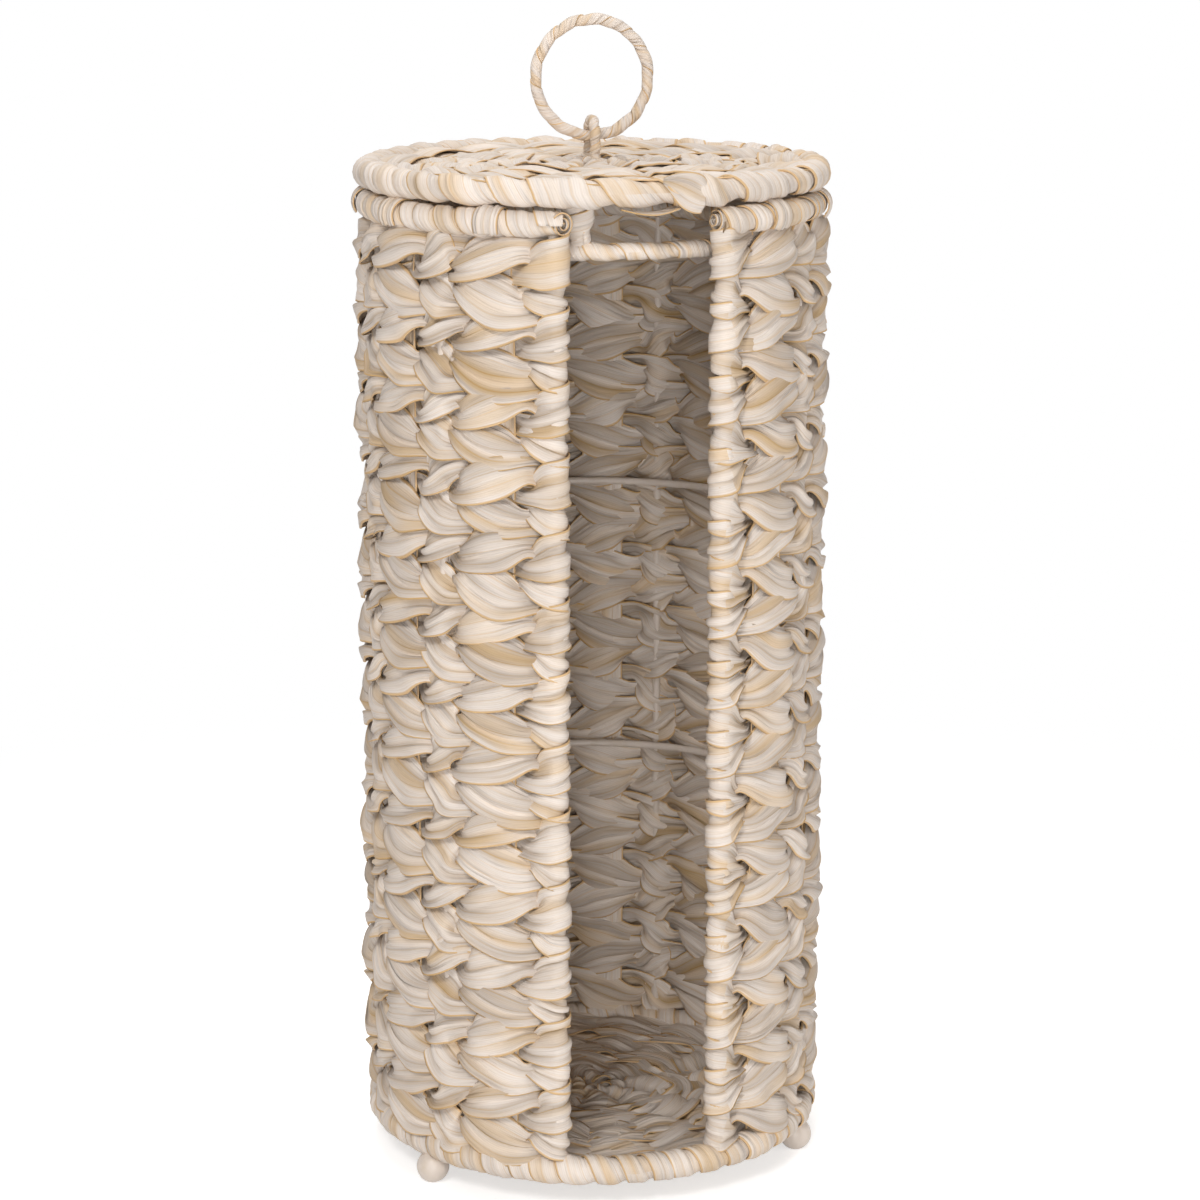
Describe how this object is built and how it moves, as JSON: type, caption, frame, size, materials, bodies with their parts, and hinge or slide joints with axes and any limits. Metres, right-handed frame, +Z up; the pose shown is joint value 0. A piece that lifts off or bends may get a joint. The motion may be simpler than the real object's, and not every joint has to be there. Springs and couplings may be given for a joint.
{
  "type": "toilet paper basket",
  "caption": "Tall round woven holder for spare toilet rolls: flat fibre strip twined over a wire frame, open slot down the front, lift-off lid with a folding ring handle, ball feet",
  "frame": {"origin": "on the floor, under the centre of the basket", "axes": "+Z up along the basket's axis, -Y out of the front slot, +X to the right of a person facing the slot"},
  "size_m": [0.1646, 0.1647, 0.4053],
  "materials": {
    "fibre_strip": "pale washed plant-fibre strip with tan edges, dull satin",
    "painted_wire": "cream painted steel wire"
  },
  "bodies": {
    "basket": {"top_rim_wire": "painted_wire", "top_rim_wrap": "fibre_strip", "base_rim_wire": "painted_wire", "base_rim_wrap": "fibre_strip", "left_post_wire": "painted_wire", "right_post_wire": "painted_wire", "upper_hoop_wire": "painted_wire", "lower_hoop_wire": "painted_wire", "stake_wire_1": "painted_wire", "stake_wire_2": "painted_wire", "stake_wire_3": "painted_wire", "stake_wire_4": "painted_wire", "stake_wire_5": "painted_wire", "stake_wire_6": "painted_wire", "stake_wire_7": "painted_wire", "stake_wire_8": "painted_wire", "stake_wire_9": "painted_wire", "stake_ribbon_1": "fibre_strip", "stake_ribbon_2": "fibre_strip", "stake_ribbon_3": "fibre_strip", "stake_ribbon_4": "fibre_strip", "stake_ribbon_5": "fibre_strip", "stake_ribbon_6": "fibre_strip", "stake_ribbon_7": "fibre_strip", "stake_ribbon_8": "fibre_strip", "stake_ribbon_9": "fibre_strip", "stake_ribbon_10": "fibre_strip", "wall_weave": "fibre_strip", "base_spoke_wires": "painted_wire", "base_weave": "fibre_strip", "foot_front_left": "painted_wire", "foot_front_right": "painted_wire", "foot_back": "painted_wire"},
    "lid": {"lid_rim_wire": "painted_wire", "lid_rim_wrap": "fibre_strip", "lid_spoke_wires": "painted_wire", "lid_weave": "fibre_strip", "locating_ring_wire": "painted_wire", "locating_ring_wrap": "fibre_strip", "connector_wire_1": "painted_wire", "connector_wire_2": "painted_wire", "connector_wire_3": "painted_wire", "connector_wire_4": "painted_wire", "connector_wrap_1": "fibre_strip", "connector_wrap_2": "fibre_strip", "connector_wrap_3": "fibre_strip", "connector_wrap_4": "fibre_strip", "handle_staple_wire": "painted_wire", "handle_staple_wrap": "fibre_strip"},
    "handle": {"handle_ring_wire": "painted_wire", "handle_ring_wrap": "fibre_strip"}
  },
  "joints": [
    {"name": "lid_lift", "type": "slide", "parent": "basket", "child": "lid", "axis": [0, 0, 1], "range_m": [0, 0.12]},
    {"name": "handle_fold", "type": "hinge", "parent": "lid", "child": "handle", "pos_m": [0, 0, 0.3633], "axis": [1, 0, 0], "range_deg": [-90, 90]}
  ]
}
